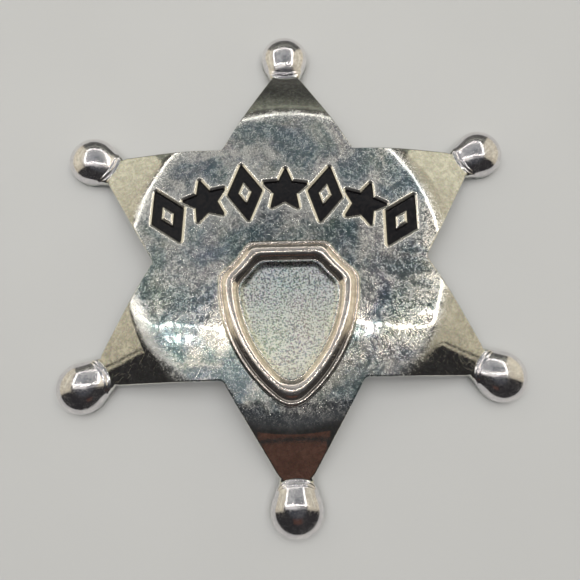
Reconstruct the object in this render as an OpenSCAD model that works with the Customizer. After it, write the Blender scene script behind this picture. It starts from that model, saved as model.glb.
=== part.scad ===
// A six-pointed star badge struck from one sheet of plated metal.
// The face lies in a very shallow dome, the six arms bend down from a round
// fold, and each arm ends in a hollow domed tip. A raised shield frame and
// seven enamelled pockets are struck into the face, and a plain pin is
// soldered behind it. The badge rests on its six tips, face up: +Z is out
// of the face, +Y is the top arm, and the origin is under the centre, at the
// level that the tips rest on. All lengths are in millimetres.

/* [Star outline] */
// Distance from the centre to the centre of each domed tip
tip_r = 34.4; // [34:0.1:37]
// Distance from the centre to each inner corner of the star
notch_r = 19.45; // [18.8:0.05:20.5]
// Radius of the rounded inner corners
notch_fillet = 0.8; // [0.4:0.1:1.5]
// Distance from the centre to the end of each arm's flat panel
neck_r = 30.1; // [29.5:0.1:30.6]
// Width of an arm where its panel ends
neck_w = 4.5; // [4:0.1:5]

/* [Sheet] */
// Thickness of the struck sheet
sheet_t = 1.2; // [1:0.05:1.5]
// Radius of the shallow dome that the face lies in
dome_r = 420; // [300:10:800]
// Distance from the centre to the start of the round fold
fold_r = 21.2; // [20.8:0.1:22.4]
// Radius of the bend along the fold
bend_r = 12; // [9:0.5:14]
// How steeply the arms run down outside the fold, in degrees
arm_slope = 18; // [14:1:22]

/* [Domed tips] */
// Radius of each tip's round outline
ball_r = 3.65; // [3.5:0.05:3.9]
// Height of the upright skirt under each tip
ball_skirt = 1.3; // [1.1:0.1:1.5]
// Height of each tip's dome above its skirt
ball_rise = 2.2; // [2.2:0.1:2.7]
// How far each tip leans outwards, in degrees
ball_lean = 6; // [5:1:10]
// Height of an arm's top face above the tip's skirt, at the neck
arm_lift = 1.3; // [1.2:0.1:1.5]
// Radius of the round back that joins the neck and the tip, at the neck
neck_round = 2.8; // [2.6:0.1:3.2]
// Length of that round back
neck_run = 3; // [2.8:0.1:3.1]

/* [Shield] */
// How far the shield sits to the side of the star's centre
shield_x = -0.35; // [-0.6:0.05:0.6]
// Height of the shield's widest line, measured from the star's centre
shield_y = -3.4; // [-4.2:0.1:-3]
// Height of the shield's flat top above its widest line
shield_top = 5.7; // [5:0.1:6]
// Radius of each long side of the shield
shield_side_r = 20.8; // [19.5:0.1:22]
// Half of the shield's greatest width
shield_half_w = 9.75; // [9:0.05:10]
// Radius of the shield's blunt lower point
shield_point_r = 3.4; // [1:0.1:4]
// Radius of the hollow cut in each shoulder
shoulder_r = 12.6; // [10:0.2:16]
// Distance from the shield's axis to the centre of a shoulder's cut
shoulder_x = 16.9; // [16.5:0.1:18]
// Height of the centre of a shoulder's cut above the widest line
shoulder_y = 11.5; // [11:0.1:12]
// Width of the raised frame
rim_w = 2.7; // [2.2:0.1:3.2]
// Height of the frame's crest above the face
rim_h = 0.85; // [0.4:0.05:1.2]
// Depth of the field inside the frame, below the face
field_depth = 0.15; // [0.05:0.05:0.4]

/* [Enamelled motifs] */
// Sideways place of the centre of the arc that the motifs stand on
band_x = -1.9; // [-2.1:0.1:0]
// Height of the centre of that arc
band_y = -25.7; // [-26.2:0.1:-25.2]
// Radius of that arc, through the middle of the motifs
band_r = 36; // [35.6:0.1:36.4]
// Angle from one motif to the next, in degrees
motif_angle = 9.3; // [9.2:0.1:9.6]
// How far the row of motifs is turned about the arc's centre, in degrees
band_angle = -2.2; // [-2.5:0.1:0]
// Half of a lozenge's length
lozenge_len = 4.4; // [3.8:0.1:4.5]
// Half of a lozenge's width
lozenge_w = 2.5; // [2.1:0.1:2.6]
// Width of the enamelled line round a lozenge's bare centre
lozenge_line = 1.25; // [1:0.05:1.4]
// Radius of a star motif to its points
star_r = 3.5; // [3:0.1:3.6]
// Radius of a star motif to its inner corners
star_inner_r = 1.65; // [1.5:0.05:1.8]
// Depth of the pockets below the face
pocket_depth = 0.7; // [0.5:0.05:0.8]
// How far the enamel's surface lies below the face
enamel_sink = 0.3; // [0.1:0.05:0.4]
// Gap left round the enamel
enamel_gap = 0.04; // [0.02:0.01:0.08]

/* [Pin] */
// Height of the pin above the star's centre
pin_y = 0; // [-2:0.5:2]
// Length of the base bar
pin_bar_l = 31; // [28:0.5:33]
// Width of the base bar and its two posts
pin_bar_w = 4; // [3:0.1:5]
// Thickness of the base bar at its ends
pin_bar_t = 0.8; // [0.6:0.05:0.9]
// Gap that the solder fills between the bar and the sheet
solder_gap = 0.05; // [0.02:0.01:0.1]
// Length of each post along the bar
post_l = 3; // [2:0.1:4]
// Height of each post below the base bar
post_h = 2.3; // [2:0.05:2.4]
// Radius of the pin's wire
wire_r = 0.5; // [0.35:0.05:0.5]
// Distance from the base bar down to the wire's axis
wire_drop = 1.4; // [1.3:0.05:1.5]
// Length of the wire's pointed end
point_l = 3; // [2:0.1:4]
// Radius of the wire's tip
point_r = 0.1; // [0.05:0.01:0.15]
// Room round the wire in the catch
catch_gap = 0.15; // [0.1:0.01:0.2]

/* [Hidden] */
$fn = 64;
arms = 6;
arm_turn = 360 / arms;
star_points = 5;
dome_steps = 5;
bend_steps = 4;
fillet_steps = 4;
ball_steps = 8;
// How much wider than the tip the round back's far end is
neck_lift = 0.4;
eps = 0.01;
// A height well above the whole badge
above = 4 * ball_r;
motifs = 7;
motif_names = [for (i = [1:motifs]) str("enamel_", i)];

// The round face is one profile, turned about the badge's axis.
fold_slope = asin(fold_r / dome_r);
bend_end_r = fold_r + bend_r * (sin(arm_slope) - sin(fold_slope));
bend_drop = bend_r * (cos(fold_slope) - cos(arm_slope));
neck_z = ball_skirt + arm_lift;
fold_z = neck_z + (neck_r - bend_end_r) * tan(arm_slope) + bend_drop;
dome_z = fold_z - sqrt(pow(dome_r, 2) - pow(fold_r, 2));
bend_x = fold_r - bend_r * sin(fold_slope);
bend_z = fold_z - bend_r * cos(fold_slope);
cone_end_z = fold_z - bend_drop - (tip_r - bend_end_r) * tan(arm_slope);

function from_top(r, a) = [r * sin(a), r * cos(a)];
function backwards(list) = [for (i = [len(list) - 1:-1:0]) list[i]];
function turned(p, a) = [p.x * cos(a) - p.y * sin(a), p.x * sin(a) + p.y * cos(a)];

// Points of the face from the axis outwards, moved off the face by lift.
function face_line(lift) = concat(
    [for (i = [0:dome_steps - 1]) [0, dome_z] + from_top(dome_r + lift, i * fold_slope / dome_steps)],
    [for (i = [0:bend_steps])
        [bend_x, bend_z] + from_top(bend_r + lift, fold_slope + i * (arm_slope - fold_slope) / bend_steps)],
    [[tip_r, cone_end_z] + from_top(lift, arm_slope)]);

// The space between two levels of the face, from low to high.
module face_layer(low, high) {
    rotate_extrude() polygon(concat(face_line(high), backwards(face_line(low))));
}

// Everything behind one level of the face.
module behind_face(lift) {
    rotate_extrude() polygon(concat(face_line(lift), [[tip_r, -sheet_t], [0, -sheet_t]]));
}

// Half of the angle between the two edges that meet in an inner corner.
neck_corner = turned([neck_r, -neck_w / 2], arm_turn / 2);
notch_angle = atan2(neck_corner.y, neck_corner.x - notch_r);
notch_centre = notch_r + notch_fillet / sin(notch_angle);

// Where a straight line from the neck's corner touches the tip's round outline
neck_reach = norm([tip_r - neck_r, neck_w / 2]);
flank_turn = asin(ball_r / neck_reach) - atan2(neck_w / 2, tip_r - neck_r);
flank_end = [tip_r - ball_r * sin(flank_turn), ball_r * cos(flank_turn)];

// One sixth of the outline: a rounded inner corner and the arm after it, up to its tip.
function outline_part(a) = concat(
    [for (i = [0:fillet_steps])
        let (t = 270 - notch_angle - i * (180 - 2 * notch_angle) / fillet_steps)
        turned([notch_centre + notch_fillet * cos(t), notch_fillet * sin(t)], a)],
    [for (p = [[neck_r, -neck_w / 2], [flank_end.x, -flank_end.y], flank_end, [neck_r, neck_w / 2]])
        turned(p, a + arm_turn / 2)]);

module star_outline() {
    polygon([for (k = [0:arms - 1]) each outline_part(k * arm_turn)]);
}

module at_each_tip() {
    for (k = [0:arms - 1]) rotate(90 + k * arm_turn) translate([tip_r, 0]) children();
}

// Half of a flattened ball's section, with an upright side down to depth.
function dome_line(radius, rise, depth) = concat(
    [for (i = [0:ball_steps]) [radius * sin(i * 90 / ball_steps), rise * cos(i * 90 / ball_steps)]],
    [[radius, -depth], [0, -depth]]);

// A dome that leans outwards with its tip.
module leaning_dome(radius, rise) {
    translate([0, 0, ball_skirt]) rotate([0, ball_lean, 0])
        rotate_extrude() polygon(dome_line(radius, rise, 2 * ball_skirt));
}

module domed_tip() {
    intersection() {
        leaning_dome(ball_r, ball_rise);
        cylinder(r = 2 * ball_r, h = 2 * ball_r);
    }
}

// The hollow under a tip, open below.
module tip_hollow() {
    leaning_dome(ball_r - sheet_t, ball_rise - sheet_t);
}

// The round back that rises from the arm's end to the tip, inside the outline.
module neck_back() {
    start_z = neck_z - neck_round;
    end_z = ball_skirt + ball_rise * cos(flank_turn) - ball_r - neck_lift;
    run = neck_run;
    intersection() {
        translate([neck_r - tip_r, 0, start_z]) rotate([0, 90 - atan2(end_z - start_z, run), 0])
            cylinder(r1 = neck_round, r2 = ball_r + neck_lift, h = norm([run, end_z - start_z]));
        linear_extrude(above) polygon([[neck_r - tip_r, -neck_w / 2], [flank_end.x - tip_r, -flank_end.y],
                                       [flank_end.x - tip_r, flank_end.y], [neck_r - tip_r, neck_w / 2]]);
    }
}

// The shield's outline, drawn in from its edge by inset.
module shield_shape(inset) {
    side_r = shield_side_r - inset;
    side_x = shield_side_r - shield_half_w;
    blunt_r = max(shield_point_r - inset, 0);
    point_y = -sqrt(pow(side_r - blunt_r, 2) - pow(side_x, 2));
    foot_y = blunt_r > 0 ? point_y * side_r / (side_r - blunt_r) : -side_r;
    translate([shield_x, shield_y]) {
        difference() {
            intersection() {
                translate([-side_x, 0]) circle(r = side_r);
                translate([side_x, 0]) circle(r = side_r);
                translate([-shield_half_w, foot_y])
                    square([2 * shield_half_w, shield_top - inset - foot_y]);
            }
            for (side = [-1, 1])
                translate([side * shoulder_x, shoulder_y]) circle(r = shoulder_r + inset);
        }
        if (blunt_r > 0) translate([0, point_y]) circle(r = blunt_r);
    }
}

// A frame of the shield's outline between two insets, up to a level above the face.
module shield_step(from, to, lift) {
    intersection() {
        face_layer(-sheet_t / 2, lift);
        linear_extrude(above) difference() {
            shield_shape(from);
            shield_shape(to);
        }
    }
}

// The rounded frame in three steps: share of the half-width drawn in, share of the height.
rim_steps = [[0, 0.4], [0.34, 0.76], [0.64, 1]];
module shield_frame() {
    for (s = rim_steps)
        shield_step(s[0] * rim_w / 2, rim_w * (1 - s[0] / 2), s[1] * rim_h);
}

// The motifs are lozenges and stars by turns, with a lozenge at each end.
function is_star(i) = i % 2 == 1;
lozenge_corners = [[lozenge_w, 0], [0, lozenge_len], [-lozenge_w, 0], [0, -lozenge_len]];
star_corners = [for (i = [0:2 * star_points - 1])
    turned([0, i % 2 == 0 ? star_r : star_inner_r], i * 180 / star_points)];
// Distance from a motif's centre to its edges
lozenge_reach = lozenge_w * lozenge_len / norm([lozenge_w, lozenge_len]);
star_reach = star_r * star_inner_r * sin(180 / star_points) / norm(star_corners[1] - star_corners[0]);

// A motif's outline, drawn in by inset on every edge.
module motif_shape(i, inset) {
    reach = is_star(i) ? star_reach : lozenge_reach;
    polygon((is_star(i) ? star_corners : lozenge_corners) * (reach - inset) / reach);
}

// Where motif i is sunk into the face, with room left round it. A lozenge keeps a bare centre.
module motif_area(i, gap) {
    turn = band_angle + ((motifs - 1) / 2 - i) * motif_angle;
    translate([band_x, band_y]) rotate(turn) translate([0, band_r]) difference() {
        motif_shape(i, gap);
        if (!is_star(i)) motif_shape(i, lozenge_line - gap);
    }
}

module motif_pocket(i) {
    intersection() {
        face_layer(-pocket_depth, rim_h);
        linear_extrude(above) motif_area(i, 0);
    }
}

module enamel(i) {
    color([0.02, 0.02, 0.025]) intersection() {
        face_layer(-pocket_depth + enamel_gap, -enamel_sink);
        linear_extrude(above) motif_area(i, enamel_gap);
    }
}

module star_plate() {
    color([0.75, 0.75, 0.73]) difference() {
        union() {
            intersection() {
                face_layer(-sheet_t, 0);
                linear_extrude(above) star_outline();
            }
            intersection() {
                face_layer(-sheet_t, ball_r);
                at_each_tip() neck_back();
            }
            at_each_tip() domed_tip();
            shield_frame();
        }
        at_each_tip() tip_hollow();
        intersection() {
            face_layer(-field_depth, rim_h);
            linear_extrude(above) shield_shape(rim_w);
        }
        for (i = [0:motifs - 1]) motif_pocket(i);
    }
}

// The bar hangs from the hollow side of the sheet, so its height follows the dome.
bar_end_x = pin_bar_l / 2;
bar_end_r = norm([bar_end_x, abs(pin_y) + pin_bar_w / 2]);
bar_top_z = dome_z + sqrt(pow(dome_r - sheet_t - solder_gap, 2) - pow(bar_end_r, 2));
bar_z = bar_top_z - pin_bar_t;
wire_z = bar_z - wire_drop;

module pin_post() {
    translate([0, -pin_bar_w / 2, bar_z - post_h]) cube([post_l, pin_bar_w, post_h + eps]);
}

// The wire lies in a slot that opens to the side of the catch.
module catch_slot() {
    slot_r = wire_r + catch_gap;
    translate([-eps, 0, wire_z]) rotate([0, 90, 0]) cylinder(r = slot_r, h = post_l + 2 * eps);
    translate([-eps, 0, wire_z - slot_r]) cube([post_l + 2 * eps, pin_bar_w, 2 * slot_r]);
}

module pin_wire() {
    straight_l = pin_bar_l - 1.5 * post_l - point_l / 2;
    translate([0, 0, wire_z]) rotate([0, 90, 0]) {
        cylinder(r = wire_r, h = straight_l);
        translate([0, 0, straight_l]) cylinder(r1 = wire_r, r2 = point_r, h = point_l);
    }
}

module pin_back() {
    color([0.65, 0.65, 0.63]) {
        // Base bar
        intersection() {
            behind_face(-sheet_t - solder_gap);
            translate([-bar_end_x, pin_y - pin_bar_w / 2, bar_z]) cube([pin_bar_l, pin_bar_w, sheet_t]);
        }
        translate([0, pin_y, 0]) {
            // Hinge post, with the wire running out of it
            translate([-bar_end_x, 0, 0]) pin_post();
            translate([-bar_end_x + post_l / 2, 0, 0]) pin_wire();
            // Catch post
            translate([bar_end_x - post_l, 0, 0]) difference() {
                pin_post();
                catch_slot();
            }
        }
    }
}

star_plate();
pin_back();
for (i = [0:motifs - 1]) enamel(i);
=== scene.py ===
"""Looks of a six-pointed star badge: mirror-bright plate, glossy enamel, pin, light and camera.

Shapes are worked out in millimetres and turned into metres when their mesh is made.
"""
import math

import bpy
import numpy as np
from mathutils import Matrix, Vector
from mathutils.geometry import delaunay_2d_cdt


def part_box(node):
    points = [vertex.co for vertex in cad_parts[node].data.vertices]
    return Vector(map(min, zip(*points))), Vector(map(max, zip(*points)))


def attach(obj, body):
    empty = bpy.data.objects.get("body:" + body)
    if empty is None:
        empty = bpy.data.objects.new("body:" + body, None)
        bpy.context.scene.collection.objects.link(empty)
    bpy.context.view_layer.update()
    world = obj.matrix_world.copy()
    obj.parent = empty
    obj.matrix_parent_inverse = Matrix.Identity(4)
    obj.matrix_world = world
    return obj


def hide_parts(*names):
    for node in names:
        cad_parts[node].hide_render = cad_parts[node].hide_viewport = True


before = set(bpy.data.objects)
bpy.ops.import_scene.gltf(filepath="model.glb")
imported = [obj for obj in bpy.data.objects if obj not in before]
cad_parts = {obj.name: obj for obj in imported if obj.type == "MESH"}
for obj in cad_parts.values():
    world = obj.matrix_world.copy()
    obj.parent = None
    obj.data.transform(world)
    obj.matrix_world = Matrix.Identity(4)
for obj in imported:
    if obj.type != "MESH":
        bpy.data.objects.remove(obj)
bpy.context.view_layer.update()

MM = 0.001
ARMS = 6
ARM_TURN = 2 * math.pi / ARMS
MOTIFS = 7
STAR_POINTS = 5

# Main sizes of the badge, in millimetres
PLATE_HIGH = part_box("star_plate")[1] / MM
TIP_R = 34.4
BALL_R = PLATE_HIGH.y - TIP_R
BALL_SKIRT = 1.3
BALL_RISE = 2.5
BALL_LEAN = math.radians(8)
NECK_BACK_R = 7.0
NOTCH_R = 19.45
NOTCH_FILLET = 0.8
NECK_R = 30.1
NECK_W = 4.5
SHEET_T = 1.2
DOME_R = 420.0
FOLD_R = 21.2
BEND_R = 12.0
ARM_SLOPE = math.radians(18)
ARM_LIFT = 1.3

# Edge of the struck sheet
EDGE_ROUND = 0.25
NECK_ROUND = 0.5
BACK_ROUND = 0.15
NECK_FILLET = 0.42
# Distances from a tip's centre to the end of the sheet and to the farthest part of its outline
SHEET_END = 3.9
TIP_FOOT = 4.965
# Slope that stands in for an upright wall
STEEP = 40.0
# Low collar where each tip joins its arm
COLLAR_AT = NECK_R + 0.35
COLLAR_HALF_W = 0.5
COLLAR_H = 0.12
COLLAR_ROUND = 9.0

# Shield, measured from its own centre
SHIELD_X = -0.35
SHIELD_Y = -3.4
SHIELD_TOP = 5.7
SHIELD_SIDE_R = 20.8
SHIELD_HALF_W = 9.75
SHIELD_POINT_R = 3.4
SHIELD_BLEND = 0.9
SHIELD_POINT_BLEND = 2.4
SHOULDER_R = 12.6
SHOULDER_X = 16.9
SHOULDER_Y = 11.5
RIM_W = 2.7
RIM_H = 0.84
RIM_FILLET = 0.09
FIELD_DEPTH = 0.15
# The field is also dished a little: radius of the dish, its middle and its half-width
FIELD_DISH_R = 170.0
FIELD_MIDDLE_Y = -8.5
FIELD_HALF_W = 8.0

# Row of motifs
BAND_X = -1.9
BAND_Y = -25.7
BAND_R = 36.0
MOTIF_ANGLE = math.radians(9.3)
BAND_ANGLE = math.radians(-2.2)
LOZENGE_LEN = 4.4
LOZENGE_W = 2.5
LOZENGE_LINE = 1.25
STAR_R = 3.5
STAR_INNER_R = 1.65
MOTIF_CORNER_R = 0.15
POCKET_DEPTH = 0.7
POCKET_SLOPE = 4.0
LIP_R = 0.62
LIP_CURVE = 0.5
LIP_SLOPE = 0.65
LIP_DROP = LIP_SLOPE * (LIP_R - LIP_CURVE * LIP_SLOPE / 2)
ENAMEL_LAP = 0.1
ENAMEL_DEPTH = 0.5
ENAMEL_FILLET = 0.15
ENAMEL_PROUD = 0.01

# Slow waves in the struck face: height, length and direction of each
WAVES = (
    (0.0060, 7.1, 20),
    (0.0055, 4.3, 95),
    (0.0050, 9.7, 150),
    (0.0045, 3.1, 60),
)
# How much each wave's crest swings from side to side, and how long that swing is
WAVE_SWING = 0.9
WAVE_SWING_LENGTH = 2.3

# The round face
FOLD_SLOPE = math.asin(FOLD_R / DOME_R)
BEND_END_R = FOLD_R + BEND_R * (math.sin(ARM_SLOPE) - math.sin(FOLD_SLOPE))
BEND_DROP = BEND_R * (math.cos(FOLD_SLOPE) - math.cos(ARM_SLOPE))
NECK_Z = BALL_SKIRT + ARM_LIFT
BEND_END_Z = NECK_Z + (NECK_R - BEND_END_R) * math.tan(ARM_SLOPE)
FOLD_Z = BEND_END_Z + BEND_DROP
DOME_Z = FOLD_Z - DOME_R * math.cos(FOLD_SLOPE)
BEND_X = FOLD_R - BEND_R * math.sin(FOLD_SLOPE)
BEND_Z = FOLD_Z - BEND_R * math.cos(FOLD_SLOPE)


def smooth_max(a, b, reach):
    """The higher of two heights, rounded where they differ by less than reach."""
    gap = np.maximum(reach - np.abs(a - b), 0)
    return np.maximum(a, b) + gap * gap / (4 * reach)


def smooth_min(a, b, reach):
    return -smooth_max(-a, -b, reach)


def smooth_step(x, low, high):
    """0 below low, 1 above high, and a smooth rise between them."""
    t = np.clip((x - low) / (high - low), 0, 1)
    return t * t * (3 - 2 * t)


def round_face(r):
    """Height of the face at distance r from the axis."""
    dome = DOME_Z + np.sqrt(DOME_R**2 - np.minimum(r, FOLD_R) ** 2)
    bend = BEND_Z + np.sqrt(BEND_R**2 - (np.clip(r, FOLD_R, BEND_END_R) - BEND_X) ** 2)
    cone = BEND_END_Z - (r - BEND_END_R) * math.tan(ARM_SLOPE)
    return np.where(r < FOLD_R, dome, np.where(r < BEND_END_R, bend, cone))


def face_slope(r):
    """How steeply the face falls at distance r from the axis."""
    dome = np.minimum(r, FOLD_R) / DOME_R
    bend = (np.clip(r, FOLD_R, BEND_END_R) - BEND_X) / BEND_R
    sine = np.where(r < FOLD_R, dome, np.where(r < BEND_END_R, bend, math.sin(ARM_SLOPE)))
    return sine / np.sqrt(1 - sine * sine)


# Star outline. An arm's own axes are u, outwards along it, and v, the distance to its side.
NOTCH_POINT = (NOTCH_R * math.cos(ARM_TURN / 2), NOTCH_R * math.sin(ARM_TURN / 2))
SIDE_RUN = np.array((NECK_R - NOTCH_POINT[0], NECK_W / 2 - NOTCH_POINT[1]))
SIDE_DIR = SIDE_RUN / np.linalg.norm(SIDE_RUN)
SIDE_IN = np.array((SIDE_DIR[1], -SIDE_DIR[0]))
NOTCH_ANGLE = ARM_TURN / 2 + math.atan2(-SIDE_DIR[1], SIDE_DIR[0])
NOTCH_SWEEP = math.pi / 2 - NOTCH_ANGLE
NOTCH_CENTRE_R = NOTCH_R + NOTCH_FILLET / math.sin(NOTCH_ANGLE)
NOTCH_CENTRE = (NOTCH_CENTRE_R * math.cos(ARM_TURN / 2), NOTCH_CENTRE_R * math.sin(ARM_TURN / 2))


def arm_axes(x, y):
    """The place of x, y in the axes of the nearest arm."""
    r = np.hypot(x, y)
    turn = np.mod(np.arctan2(y, x), ARM_TURN) - ARM_TURN / 2
    return r * np.cos(turn), np.abs(r * np.sin(turn))


def along_side(u, v):
    """Distance along an arm's straight side, negative from the neck to the notch."""
    return (u - NECK_R) * SIDE_DIR[0] + (v - NECK_W / 2) * SIDE_DIR[1]


TANGENT_ALONG = along_side(*NOTCH_CENTRE)
# The two ends of an arm's straight side, on the side where v is negative
SIDE_START = (NECK_R + TANGENT_ALONG * SIDE_DIR[0], -NECK_W / 2 - TANGENT_ALONG * SIDE_DIR[1])
SIDE_END = (NECK_R, -NECK_W / 2)

# The flank runs straight from the neck's corner and touches the tip's round outline
NECK_REACH = math.hypot(TIP_R - NECK_R, NECK_W / 2)
FLANK_TURN = math.asin(BALL_R / NECK_REACH) - math.atan2(NECK_W / 2, TIP_R - NECK_R)
FLANK_END = (TIP_R - BALL_R * math.sin(FLANK_TURN), BALL_R * math.cos(FLANK_TURN))


def from_tip(u, v):
    """Distance from the tip's centre."""
    return np.hypot(u - TIP_R, v)


def sheet_inset(u, v):
    """Distance inwards from the edge of the sheet, up to its end under the tip's dome."""
    across = (u - NECK_R) * SIDE_IN[0] + (v - NECK_W / 2) * SIDE_IN[1]
    notch = np.hypot(u - NOTCH_CENTRE[0], v - NOTCH_CENTRE[1]) - NOTCH_FILLET
    side = np.where(along_side(u, v) > TANGENT_ALONG, across, notch)
    flank = (u - TIP_R) * math.sin(FLANK_TURN) - v * math.cos(FLANK_TURN) + BALL_R
    return np.minimum(np.maximum(side, flank), from_tip(u, v) - SHEET_END)


def tip_reach(u, v):
    """Distance from the tip's centre to its pear-shaped outline, on the way to u, v."""
    off_neck = np.arctan2(v, TIP_R - u)
    off_flank = np.clip(math.pi / 2 - FLANK_TURN - off_neck, 0, 1.2)
    return np.minimum(BALL_R / np.cos(off_flank), TIP_FOOT)


def tip_share(u, v):
    """Share of the way from the tip's centre to its outline, 1 on the outline."""
    return from_tip(u, v) / tip_reach(u, v)


LEAN_COS, LEAN_SIN = math.cos(BALL_LEAN), math.sin(BALL_LEAN)
DOME_SQUARE = (LEAN_SIN / BALL_R) ** 2 + (LEAN_COS / BALL_RISE) ** 2
BASE_SLOPE = LEAN_COS * LEAN_SIN * (1 / BALL_RISE**2 - 1 / BALL_R**2) / DOME_SQUARE
BULGE = 1 / (BALL_R * BALL_RISE * DOME_SQUARE)


def dome_crest(along):
    """Height of the tip's crest over its slanted base, along the arm's middle line."""
    joint = FLANK_END[0] - TIP_R
    here = np.maximum(along, joint)
    bulge = BULGE * np.sqrt(np.maximum(BALL_R**2 - here**2, 0))
    start = NECK_BACK_R * math.sin(math.atan(-BULGE * joint / math.sqrt(BALL_R**2 - joint**2)))
    run = np.minimum(start + np.maximum(joint - along, 0), NECK_BACK_R)
    return bulge - (math.sqrt(NECK_BACK_R**2 - start**2) - np.sqrt(NECK_BACK_R**2 - run**2))


def dome_height(u, v):
    """Height of a tip: a flattened ball that leans outwards, drawn out into a round back at the neck."""
    along = u - TIP_R
    flank = BALL_R / math.cos(FLANK_TURN) + along * math.tan(FLANK_TURN)
    width = np.where(u < FLANK_END[0], flank, np.sqrt(np.maximum(BALL_R**2 - along**2, 1e-9)))
    across = np.sqrt(np.maximum(1 - (v / np.maximum(width, 0.1)) ** 2, 0))
    return BALL_SKIRT - BASE_SLOPE * along + np.maximum(dome_crest(along), 0) * across


def edge_drop(inset, radius):
    """How far a rounded edge lies below the face."""
    curved = radius - np.sqrt(np.maximum(radius**2 - np.maximum(radius - inset, 0) ** 2, 0))
    return np.where(inset < 0, radius - STEEP * inset, curved)


# Shield
def ring_wall(x, y, centre_x, centre_y, radius, keep_inside):
    """Distance inwards from a round wall, and the direction that points inwards."""
    dx = x - centre_x
    dy = y - centre_y
    far = np.maximum(np.hypot(dx, dy), 1e-9)
    sign = -1 if keep_inside else 1
    return sign * (far - radius), sign * dx / far, sign * dy / far


def rounded_corner(a, b, radius):
    """Distance inwards from two walls that meet in a rounded corner."""
    cosine = a[1] * b[1] + a[2] * b[2]
    u = radius - a[0]
    v = radius - b[0]
    skew = np.maximum(u * u + v * v - 2 * u * v * cosine, 0) / np.maximum(1 - cosine**2, 0.05)
    at_corner = (u > cosine * v) & (v > cosine * u)
    return radius - np.where(at_corner, np.sqrt(skew), np.maximum(u, v))


def shield_inset(x, y):
    """Distance inwards from the outer edge of the shield's frame."""
    px = x - SHIELD_X
    py = y - SHIELD_Y
    side_x = SHIELD_SIDE_R - SHIELD_HALF_W
    sides = [ring_wall(px, py, -s * side_x, 0, SHIELD_SIDE_R, True) for s in (1, -1)]
    shoulders = [ring_wall(px, py, s * SHOULDER_X, SHOULDER_Y, SHOULDER_R, False) for s in (1, -1)]
    point = smooth_min(sides[0][0], sides[1][0], SHIELD_POINT_BLEND)
    inset = np.minimum(rounded_corner(*sides, SHIELD_POINT_R), point)
    for shoulder in shoulders:
        inset = smooth_min(inset, shoulder[0], SHIELD_BLEND)
    return smooth_min(inset, SHIELD_TOP - py, SHIELD_BLEND)


# The frame's round ridge, between a thin bead on its outside and another on its inside.
# Each row is the distance of its middle from the shield's edge, half its width and its height.
RIM_BEADS = (
    (0.12, 0.34, 0.24),
    (1.42, 1.18, RIM_H),
    (2.72, 0.30, 0.10),
)


def bead(off, half_width, height):
    """Height of a round bead at a distance from its middle, falling on straight beyond its foot."""
    radius = (half_width**2 + height**2) / (2 * height)
    foot = min(half_width, 0.8 * radius)
    foot_z = math.sqrt(radius**2 - foot**2)
    round_z = np.sqrt(radius**2 - np.minimum(off, foot) ** 2)
    return round_z - np.maximum(off - foot, 0) * foot / foot_z - (radius - height)


def shield_relief(x, y):
    """Height of the frame and field over the face."""
    inset = shield_inset(x, y)
    off = np.hypot(x - SHIELD_X, y - FIELD_MIDDLE_Y)
    dish = (FIELD_HALF_W**2 - off**2) / (2 * FIELD_DISH_R)
    level = -(FIELD_DEPTH + dish) * smooth_step(inset, RIM_W - 0.5, RIM_W)
    for middle, half_width, height in RIM_BEADS:
        level = smooth_max(level, bead(np.abs(inset - middle), half_width, height), RIM_FILLET)
    return level


# Motifs: lozenges with a bare centre, and stars, by turns
def polygon_distance(x, y, corners):
    """Distance outside a polygon, negative inside it."""
    nearest = np.full(x.shape, np.inf)
    inside = np.zeros(x.shape, dtype=bool)
    for (ax, ay), (bx, by) in zip(corners, corners[1:] + corners[:1]):
        ex, ey = bx - ax, by - ay
        t = np.clip(((x - ax) * ex + (y - ay) * ey) / (ex * ex + ey * ey), 0, 1)
        nearest = np.minimum(nearest, np.hypot(x - ax - t * ex, y - ay - t * ey))
        crosses = (ay > y) != (by > y)
        inside ^= crosses & (x < ax + (y - ay) * ex / (ey if ey else 1e-12))
    return np.where(inside, -nearest, nearest)


def shrunk(corners, reach, inset):
    return [(x * (reach - inset) / reach, y * (reach - inset) / reach) for x, y in corners]


LOZENGE = [(LOZENGE_W, 0.0), (0.0, LOZENGE_LEN), (-LOZENGE_W, 0.0), (0.0, -LOZENGE_LEN)]
LOZENGE_REACH = LOZENGE_W * LOZENGE_LEN / math.hypot(LOZENGE_W, LOZENGE_LEN)


def star_corner(i):
    radius = STAR_INNER_R if i % 2 else STAR_R
    turn = i * math.pi / STAR_POINTS
    return (-radius * math.sin(turn), radius * math.cos(turn))


STAR = [star_corner(i) for i in range(2 * STAR_POINTS)]
STAR_SIDE = math.dist(STAR[0], STAR[1])
STAR_REACH = STAR_R * STAR_INNER_R * math.sin(math.pi / STAR_POINTS) / STAR_SIDE


def is_star(i):
    return i % 2 == 1


def outer_distance(i, x, y):
    corners, reach = (STAR, STAR_REACH) if is_star(i) else (LOZENGE, LOZENGE_REACH)
    return polygon_distance(x, y, shrunk(corners, reach, MOTIF_CORNER_R)) - MOTIF_CORNER_R


def centre_distance(x, y):
    """Distance outside a lozenge's bare centre."""
    corners = shrunk(LOZENGE, LOZENGE_REACH, LOZENGE_LINE + MOTIF_CORNER_R)
    return polygon_distance(x, y, corners) - MOTIF_CORNER_R


def motif_distance(i, x, y):
    """Distance outside motif i's enamelled area, in its own axes."""
    outer = outer_distance(i, x, y)
    return outer if is_star(i) else np.maximum(outer, -centre_distance(x, y))


def motif_turn(i):
    return BAND_ANGLE + ((MOTIFS - 1) / 2 - i) * MOTIF_ANGLE


def to_motif(i, x, y):
    c, s = math.cos(motif_turn(i)), math.sin(motif_turn(i))
    dx, dy = x - BAND_X, y - BAND_Y
    return dx * c + dy * s, -dx * s + dy * c - BAND_R


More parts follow.
